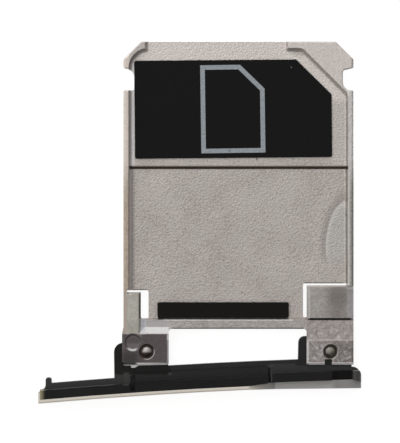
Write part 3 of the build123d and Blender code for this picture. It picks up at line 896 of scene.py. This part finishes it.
@dataclass(frozen=True)
class BlackMoulding:
    """Black moulded plastic with a fine spark texture and a little dust, with painted light on its ledge,
    seam and ends and painted shade on its lugs, flange and pit.
    """

    base: Colour = (0.013, 0.013, 0.013)
    dust: Colour = (0.12, 0.118, 0.112)
    dust_per_mm: float = 2.2
    dust_span: Span = (0.035, 0.07)
    dust_share: float = 0.3
    spark: Mottle = Mottle(11.0)
    spark_depth: float = 0.006
    wide: Mottle = Mottle(0.8)
    wide_share: Span = (0.9, 1.0)
    rough: Span = (0.34, 0.46)
    gloss: float = 0.25
    tones: tuple[Tone, ...] = (
        # Painted reflection on the ledge: its left and right parts
        Tone(Area((-12.0, -5.95), (-13.0, -10.0)), (0.0345, 0.0345, 0.034)),
        Tone(Area((1.72, 8.0), (-13.0, -10.0)), (0.033, 0.0325, 0.0325)),
        # Painted shade on the lugs and on the flange's top
        Tone(Area((-7.20, -3.80), (-10.6, -8.0)), (0.004, 0.0035, 0.0028), 0.2),
        Tone(Area((3.20, 6.40), (-10.1, -8.0)), (0.008, 0.0075, 0.007)),
        Tone(Area((-12.0, 6.32), (-13.0, -10.0), (1.0, 3.0)), (0.004, 0.0038, 0.0036), 0.18),
        # Painted shade in the pit at right, painted light over the second seam, and painted reflections on
        # the right end and the left end
        Tone(Area((5.18, 6.35), (-11.4, -10.1), (0.40, 1.2), (0.08, 0.04)), (0.0035, 0.0032, 0.003), 0.09),
        Tone(Area((1.69, 1.86), (-11.5, -10.2), soft=(0.04, 0.05)), (0.036, 0.0355, 0.035)),
        Tone(Area((6.38, 8.0), (-13.0, -9.0), (0.40, 3.0), (0.06, 0.1)), (0.066, 0.066, 0.0635)),
        Tone(Area((-12.0, -10.90), (-13.0, -10.6), soft=(0.16, 0.1)), (0.32, 0.29, 0.175)),
        # Lighter marks: a painted highlight by the first seam, a mark on the ledge and one at the second
        # seam
        Tone(Area((-6.42, -6.12), (-11.15, -10.5), soft=(0.05, 0.08)), (0.045, 0.045, 0.043)),
        Tone(Area((-3.92, -3.74), (-10.64, -10.50), soft=(0.03, 0.03)), (0.05, 0.05, 0.05)),
        Tone(Area((1.56, 1.95), (-10.17, -10.07), soft=(0.05, 0.03)), (0.05, 0.05, 0.05)),
    )

    def material(self) -> bpy.types.Material:
        """Builds the plastic's material.

        Returns:
            The material.
        """
        bench = Bench("black_moulding")
        spark = self.spark.noise(bench)
        uneven = self.wide.value(bench, self.wide_share)
        dust = bench.remap(bench.pits(self.dust_per_mm), self.dust_span, (self.dust_share, 0.0))
        colour = bench.mix(dust, self.base, self.dust)
        gloss: object = self.gloss
        for tone in self.tones:
            mask = tone.area.mask(bench)
            colour = bench.mix(bench.combine(Blend.MULTIPLY, mask, uneven), colour, tone.colour)
            gloss = bench.blend(mask, gloss, tone.gloss)
        rough = bench.remap(spark, NOISE_SPAN, self.rough)
        bench.feed(bench.shader.inputs["Specular IOR Level"], gloss)
        return bench.surface(colour, rough, 0.0, bench.relief(spark, self.spark_depth))


@dataclass(frozen=True)
class SilverSkin:
    """Satin silver paint on the door's skin, with painted light and shade: lit pale on the thin part, shaded
    grey on the lip.
    """

    # Painted light: the paint as lit on the thin part
    warm_lit: Colour = (0.785, 0.72, 0.63)
    # Painted shade: the lip in the flange's shade
    shaded: Colour = (0.47, 0.455, 0.435)
    # Painted shade: the lip where it lies open at the right end
    open_lip_shade: Colour = (0.285, 0.28, 0.272)
    turn: Span = (0.2, 2.2)
    # Painted shade on the ramp before the lip
    ramp: Colour = (0.29, 0.285, 0.275)
    ramp_rise: Span = (1.0, 2.03)
    ramp_end: Span = (2.02, 2.04)
    ramp_share: float = 0.2
    clear: Span = (5.0, 5.5)
    flake: Mottle = Mottle(16.0)
    flake_depth: float = 0.003
    flake_shade: Colour = (0.16, 0.15, 0.14)
    flake_share: float = 0.16
    rough: Span = (0.36, 0.46)
    metallic: float = 0.35

    def material(self) -> bpy.types.Material:
        """Builds the paint's material.

        Returns:
            The material.
        """
        bench = Bench("silver_skin")
        flake = self.flake.noise(bench)
        along = bench.axis(Axis.X)
        # Painted light and shade along X: lit thin part, shaded lip, darker ramp and open end
        colour = bench.mix(bench.remap(along, self.turn, RISE, soft=True), self.warm_lit, self.shaded)
        ramp = bench.combine(
            Blend.MULTIPLY, bench.remap(along, self.ramp_rise, (0.0, self.ramp_share), soft=True),
            bench.remap(along, self.ramp_end, FALL))
        colour = bench.mix(ramp, colour, self.ramp)
        colour = bench.mix(bench.remap(along, self.clear, RISE, soft=True), colour, self.open_lip_shade)
        colour = bench.mix(bench.remap(flake, NOISE_SPAN, (0.0, self.flake_share)), colour, self.flake_shade)
        rough = bench.remap(flake, NOISE_SPAN, self.rough)
        return bench.surface(colour, rough, self.metallic, bench.relief(flake, self.flake_depth))


@dataclass(frozen=True)
class RivetSteel:
    """Smooth turned steel with fine rubbed marks and painted shade on its lower half."""

    dark: Colour
    light: Colour
    # Painted shade on the head's lower half: its colour, share and where it begins
    lower_shade: Colour
    lower_shade_share: float
    lower_shade_from: Span = (-9.40, -9.32)
    rubbed: Mottle = Mottle(9.0, 3.0)
    rubbed_stretch: Place = (1.0, 0.35, 1.0)
    rubbed_turn_deg: float = 25.0
    rubbed_depth: float = 0.006
    rough: Span = (0.28, 0.40)

    def material(self) -> bpy.types.Material:
        """Builds the rivet's material.

        Returns:
            The material.
        """
        bench = Bench("rivet_steel")
        rubbed = self.rubbed.noise(bench, bench.stretched(self.rubbed_stretch, self.rubbed_turn_deg))
        colour = bench.mix(bench.remap(rubbed, NOISE_SPAN, RISE), self.dark, self.light)
        # Painted shade on the lower half of the head
        below = bench.remap(bench.axis(Axis.Y), self.lower_shade_from, (self.lower_shade_share, 0.0), soft=True)
        colour = bench.mix(below, colour, self.lower_shade)
        rough = bench.remap(rubbed, NOISE_SPAN, self.rough)
        return bench.surface(colour, rough, 1.0, bench.relief(rubbed, self.rubbed_depth))


def dress(node: bpy.types.Object, material: bpy.types.Material) -> None:
    """Puts one material on a piece in place of those it has.

    Args:
        node: the piece.
        material: its finish.
    """
    node.data.materials.clear()
    node.data.materials.append(material)
    log.info("piece %s wears %s", node.name, material.name)


def deselect() -> None:
    """Leaves nothing selected, so that the next operator acts on its own piece."""
    bpy.ops.object.select_all(action="DESELECT")


@dataclass
class CardPrint:
    """Card outline printed on the film, with one cut corner. Sizes in millimetres."""

    centre: Pair = (-0.318, 4.246)
    width: float = 3.58
    length: float = 4.92
    cut: float = 1.35
    line: float = 0.255
    ink: float = 0.005
    tilt_deg: float = 0.8
    finish: PrintInk = PrintInk()

    def build(self, level: float) -> bpy.types.Object:
        """Models the outline as a thin raised line on the film.

        Args:
            level: height of the film's face in metres.

        Returns:
            The finished piece.
        """
        deselect()
        bpy.ops.mesh.primitive_plane_add(size=1.0, location=(0.0, 0.0, 0.0))
        piece = bpy.context.object
        piece.name = "card_print"
        piece.scale = (self.width * MM, self.length * MM, 1.0)
        piece.rotation_euler = (0.0, 0.0, math.radians(self.tilt_deg))
        piece.location = (self.centre[0] * MM, self.centre[1] * MM, level)
        bpy.ops.object.transform_apply(location=False, rotation=False, scale=True)
        bpy.ops.object.mode_set(mode="EDIT")
        self._cut_corner(piece)
        bpy.ops.mesh.select_all(action="SELECT")
        bpy.ops.mesh.inset(thickness=self.line * MM, depth=0.0)
        bpy.ops.mesh.delete(type="ONLY_FACE")
        bpy.ops.mesh.select_all(action="SELECT")
        bpy.ops.mesh.extrude_region_move(TRANSFORM_OT_translate={"value": (0.0, 0.0, self.ink * MM)})
        bpy.ops.mesh.select_all(action="SELECT")
        bpy.ops.mesh.normals_make_consistent(inside=False)
        bpy.ops.object.mode_set(mode="OBJECT")
        bpy.ops.object.transform_apply(location=True, rotation=True, scale=True)
        return piece

    def _cut_corner(self, piece: bpy.types.Object) -> None:
        """Bevels the corner at the upper right to the card's cut.

        Args:
            piece: the plane, in edit mode.
        """
        bpy.ops.mesh.select_mode(type="VERT")
        bpy.ops.mesh.select_all(action="DESELECT")
        bpy.ops.object.mode_set(mode="OBJECT")
        corner = max(piece.data.vertices, key=lambda v: v.co.x + v.co.y)
        corner.select = True
        bpy.ops.object.mode_set(mode="EDIT")
        bpy.ops.mesh.bevel(offset=self.cut * MM, segments=1, affect="VERTICES")

    def dress(self, piece: bpy.types.Object) -> None:
        """Inks the outline and fixes it to the tray.

        Args:
            piece: the finished outline.
        """
        dress(piece, self.finish.material())
        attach(piece, Body.ROOT.value)
        log.info("piece %s printed on the film", piece.name)


@dataclass
class Tray:
    """Formed sheet with its rivets."""

    sheet: BlastedSteel = BlastedSteel()
    # Third and fourth values: painted shade on each rivet head's lower half
    left_pin: RivetSteel = RivetSteel((0.27, 0.245, 0.235), (0.50, 0.465, 0.45), (0.035, 0.022, 0.02), 0.9)
    right_pin: RivetSteel = RivetSteel((0.16, 0.15, 0.13), (0.30, 0.285, 0.25), (0.10, 0.095, 0.08), 0.3)

    def dress(self, nodes: dict[str, bpy.types.Object]) -> None:
        """Finishes the sheet and the rivets.

        Args:
            nodes: the solids by name.
        """
        dress(nodes["tray_plate"], self.sheet.material())
        dress(nodes["rivet_left"], self.left_pin.material())
        dress(nodes["rivet_right"], self.right_pin.material())


@dataclass
class StuckPieces:
    """Film with its print, and the grip strip."""

    film: BlackFilm = BlackFilm()
    rubber: GripRubber = GripRubber()
    outline: CardPrint = field(default_factory=CardPrint)

    def dress(self, nodes: dict[str, bpy.types.Object]) -> None:
        """Finishes the film and the strip, and prints the card outline.

        Args:
            nodes: the solids by name.
        """
        dress(nodes["bay_label"], self.film.material())
        dress(nodes["grip_strip"], self.rubber.material())
        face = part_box("bay_label")[1].z
        self.outline.dress(self.outline.build(face))


@dataclass
class Door:
    """Moulded door with its outer skin."""

    moulding: BlackMoulding = BlackMoulding()
    skin: SilverSkin = SilverSkin()

    def dress(self, nodes: dict[str, bpy.types.Object]) -> None:
        """Finishes the moulding and the skin, found among the solids by name."""
        dress(nodes["door_carrier"], self.moulding.material())
        dress(nodes["door_cover"], self.skin.material())


@dataclass
class Studio:
    """Pale floor, soft light from beyond the nose, and the camera above. Sizes in millimetres."""

    floor_size: float = 900.0
    floor_glow: float = 0.86
    floor_colour: Colour = (0.30, 0.30, 0.30)
    sky_way: Place = (-0.50, 0.72, 0.48)
    sky_span: Span = (-0.30, 0.75)
    sky_level: Span = (0.24, 1.31)
    lamp_size: float = 40.0
    lamp_place: Place = (-26.0, 42.0, 42.0)
    lamp_aim: Place = (0.0, 2.0, 0.0)
    lamp_watts: float = 0.005
    view_centre: Pair = (-2.151, -2.045)
    view_level: float = 0.45
    view_height: float = 24.749
    lens: float = 300.0
    sensor: float = 36.0
    clip_ratio: float = 100.0

    def build(self, floor_level: float) -> None:
        """Makes floor, light and camera.

        Args:
            floor_level: height of the floor in metres.
        """
        self._floor(floor_level)
        self._sky()
        self._lamp()
        self._camera()
        bpy.context.scene.view_settings.view_transform = "Standard"
        log.info("studio ready")

    def _floor(self, level: float) -> None:
        """Lays the floor, white to the eye and still shaded under the tray.

        Args:
            level: height of the floor in metres.
        """
        deselect()
        bpy.ops.mesh.primitive_plane_add(size=self.floor_size * MM, location=(0.0, 0.0, level))
        floor = bpy.context.object
        floor.name = "floor"
        material = bpy.data.materials.new("floor")
        material.use_nodes = True
        tree = material.node_tree
        tree.nodes.clear()
        path = tree.nodes.new("ShaderNodeLightPath")
        seen = tree.nodes.new("ShaderNodeMath")
        seen.operation = "MAXIMUM"
        any_seen = tree.nodes.new("ShaderNodeMath")
        any_seen.operation = "MAXIMUM"
        glow = tree.nodes.new("ShaderNodeMath")
        glow.operation = "MULTIPLY"
        glow.inputs[1].default_value = self.floor_glow
        shine = tree.nodes.new("ShaderNodeEmission")
        matt = tree.nodes.new("ShaderNodeBsdfDiffuse")
        matt.inputs["Color"].default_value = (*self.floor_colour, 1.0)
        both = tree.nodes.new("ShaderNodeAddShader")
        output = tree.nodes.new("ShaderNodeOutputMaterial")
        tree.links.new(path.outputs["Is Camera Ray"], seen.inputs[0])
        tree.links.new(path.outputs["Is Glossy Ray"], seen.inputs[1])
        tree.links.new(seen.outputs[0], any_seen.inputs[0])
        tree.links.new(path.outputs["Is Transmission Ray"], any_seen.inputs[1])
        tree.links.new(any_seen.outputs[0], glow.inputs[0])
        tree.links.new(glow.outputs[0], shine.inputs["Strength"])
        tree.links.new(shine.outputs[0], both.inputs[0])
        tree.links.new(matt.outputs[0], both.inputs[1])
        tree.links.new(both.outputs[0], output.inputs["Surface"])
        floor.data.materials.append(material)
        floor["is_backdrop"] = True

    def _sky(self) -> None:
        """Lights all round, brighter beyond the nose than behind the door."""
        world = bpy.data.worlds.new("studio")
        bpy.context.scene.world = world
        world.use_nodes = True
        tree = world.node_tree
        tree.nodes.clear()
        where = tree.nodes.new("ShaderNodeTexCoord")
        facing = tree.nodes.new("ShaderNodeVectorMath")
        facing.operation = "DOT_PRODUCT"
        facing.inputs[1].default_value = self.sky_way
        level = tree.nodes.new("ShaderNodeMapRange")
        level.interpolation_type = "SMOOTHSTEP"
        for name, number in zip(MAP_ENDS, (*self.sky_span, *self.sky_level)):
            level.inputs[name].default_value = number
        sky = tree.nodes.new("ShaderNodeBackground")
        output = tree.nodes.new("ShaderNodeOutputWorld")
        tree.links.new(where.outputs["Generated"], facing.inputs[0])
        tree.links.new(facing.outputs["Value"], level.inputs["Value"])
        tree.links.new(level.outputs["Result"], sky.inputs["Strength"])
        tree.links.new(sky.outputs[0], output.inputs["Surface"])

    def _lamp(self) -> None:
        """Hangs one soft lamp beyond the nose, aimed at the bay."""
        lamp = bpy.data.lights.new("soft_lamp", "AREA")
        lamp.shape = "SQUARE"
        lamp.size = self.lamp_size * MM
        lamp.energy = self.lamp_watts
        holder = bpy.data.objects.new("soft_lamp", lamp)
        holder.visible_camera = False
        bpy.context.scene.collection.objects.link(holder)
        place = [value * MM for value in self.lamp_place]
        aim = [value * MM for value in self.lamp_aim]
        holder.location = place
        way = Vector(aim) - Vector(place)
        holder.rotation_euler = way.to_track_quat("-Z", "Y").to_euler()

    def _camera(self) -> None:
        """Sets the camera straight above, with a long lens."""
        camera = bpy.data.cameras.new("camera")
        camera.lens = self.lens
        camera.sensor_width = self.sensor
        holder = bpy.data.objects.new("camera", camera)
        bpy.context.scene.collection.objects.link(holder)
        rise = self.view_height * self.lens / self.sensor
        holder.location = (self.view_centre[0] * MM, self.view_centre[1] * MM, (self.view_level + rise) * MM)
        camera.clip_start = rise * MM / self.clip_ratio
        camera.clip_end = rise * MM * self.clip_ratio
        bpy.context.scene.camera = holder


def corners(box: Sequence[Sequence[float]]) -> list[list[float]]:
    """Gives a box's corners as plain lists."""
    return [list(corner) for corner in box]


def main() -> None:
    """Loads the solids, dresses them and sets the studio."""
    logging.basicConfig(level=logging.INFO, format="%(message)s")
    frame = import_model()
    solid_box = corners(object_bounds())
    nodes = frame["nodes"]
    Tray().dress(nodes)
    StuckPieces().dress(nodes)
    Door().dress(nodes)
    Studio().build(solid_box[0][2])


if __name__ == "__main__":
    main()
